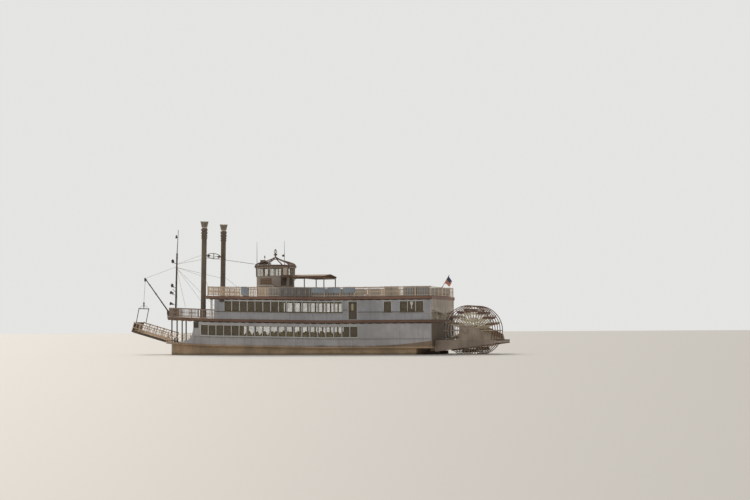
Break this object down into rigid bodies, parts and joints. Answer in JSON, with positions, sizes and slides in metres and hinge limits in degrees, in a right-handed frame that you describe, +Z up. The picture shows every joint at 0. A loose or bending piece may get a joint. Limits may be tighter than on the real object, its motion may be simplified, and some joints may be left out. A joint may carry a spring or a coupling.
{
  "type": "stern-wheel paddle steamer, 1:2 scale model",
  "caption": "Stern-wheel excursion steamer with two windowed decks, railed top deck, pilothouse, paired chimneys, mast with boom and hinged landing stage.",
  "frame": {"origin": "centre of the flat hull bottom, amidships", "axes": "+X towards the bow, +Y to port, +Z up"},
  "size_m": [23.6034, 5.5, 8.8166],
  "materials": {
    "hull": "dull olive-brown hull paint with waterline stains",
    "trim": "dark red-brown deck edge paint",
    "white": "white house paint with rust streaks",
    "door": "painted door",
    "rail": "cream railing paint",
    "iron": "dark brown ironwork paint",
    "stack": "sooty dark brown chimney paint",
    "wheel": "weathered pale paint on wheel arms, red boards",
    "wood": "worn planking",
    "canvas": "brown awning canvas",
    "flag": "dull flag cloth in dark blue over red",
    "seat": "blue-grey painted seat boards"
  },
  "bodies": {
    "ship": {"hull": "hull", "main_deck": "hull", "deck_two": "trim", "deck_three": "trim", "lower_wall_port": "white", "lower_wall_starboard": "white", "lower_wall_front": "white", "lower_wall_aft": "trim", "upper_wall_port": "white", "upper_wall_starboard": "white", "upper_wall_front": "white", "upper_wall_aft": "rail", "pilothouse_base": "white", "pilothouse_walls": "white", "pilothouse_roof": "trim", "roof_crown": "trim", "awning_frame": "iron", "awning_cover": "canvas", "deck_three_rail_port": "rail", "deck_three_rail_starboard": "rail", "deck_three_rail_aft": "rail", "deck_three_rail_front": "rail", "deck_two_rail_port": "rail", "deck_two_rail_starboard": "rail", "chimney_port": "stack", "chimney_starboard": "stack", "mast": "iron", "boom_bracket": "iron", "bow_posts_front": "iron", "bow_post_port": "iron", "bow_post_starboard": "iron", "wheel_beam_port": "hull", "wheel_beam_starboard": "hull", "wheel_bearing_port": "iron", "wheel_bearing_starboard": "iron", "wheel_guard": "hull", "engine_block": "iron", "chimney_tie": "iron", "flagstaff": "iron", "flag": "flag", "deck_seats_port": "seat", "deck_seats_starboard": "seat"},
    "paddle_wheel": {"wheel_shaft": "iron", "wheel_spider_1": "wheel", "wheel_spider_2": "wheel", "wheel_spider_3": "wheel", "wheel_spider_4": "wheel", "wheel_spider_5": "wheel"},
    "rudder_left": {"rudder_port": "iron"},
    "rudder_right": {"rudder_starboard": "iron"},
    "landing_stage": {"stage_floor": "wood", "stage_rail_port": "iron", "stage_rail_starboard": "iron", "stage_gate": "iron", "stage_spreader": "iron"},
    "derrick_boom": {"boom": "iron"},
    "port_door": {"upper_door_port": "door"},
    "starboard_door": {"upper_door_starboard": "door"},
    "saloon_door": {"lower_door_front": "door"},
    "gallery_door": {"upper_door_front": "door"}
  },
  "joints": [
    {"name": "wheel_spin", "type": "hinge", "parent": "ship", "child": "paddle_wheel", "pos_m": [-10.125, 0, 2.015], "axis": [0, 1, 0], "continuous": true},
    {"name": "rudder_port_turn", "type": "hinge", "parent": "ship", "child": "rudder_left", "pos_m": [-7.7, 1.1, 0.6], "axis": [0, 0, 1], "range_deg": [-35, 35]},
    {"name": "rudder_starboard_turn", "type": "hinge", "parent": "ship", "child": "rudder_right", "pos_m": [-7.7, -1.1, 0.6], "axis": [0, 0, 1], "range_deg": [-35, 35]},
    {"name": "stage_hoist", "type": "hinge", "parent": "ship", "child": "landing_stage", "pos_m": [9.26, 0, 1.422], "axis": [0, 1, 0], "range_deg": [-8, 30]},
    {"name": "boom_luff", "type": "hinge", "parent": "ship", "child": "derrick_boom", "pos_m": [9.5, 0, 3.255], "axis": [0, 1, 0], "range_deg": [-20, 20]},
    {"name": "port_door_swing", "type": "hinge", "parent": "ship", "child": "port_door", "pos_m": [-3.705, 2.6925, 3.24], "axis": [0, 0, -1], "range_deg": [0, 85]},
    {"name": "starboard_door_swing", "type": "hinge", "parent": "ship", "child": "starboard_door", "pos_m": [-3.705, -2.6925, 3.24], "axis": [0, 0, 1], "range_deg": [0, 85]},
    {"name": "saloon_door_swing", "type": "hinge", "parent": "ship", "child": "saloon_door", "pos_m": [6.6825, 0.255, 1.87], "axis": [0, 0, -1], "range_deg": [0, 85]},
    {"name": "gallery_door_swing", "type": "hinge", "parent": "ship", "child": "gallery_door", "pos_m": [5.3075, 0.255, 3.37], "axis": [0, 0, -1], "range_deg": [0, 85]}
  ],
  "couplings": [
    {"joint": "rudder_starboard_turn", "follows": "rudder_port_turn", "ratio": 1}
  ]
}
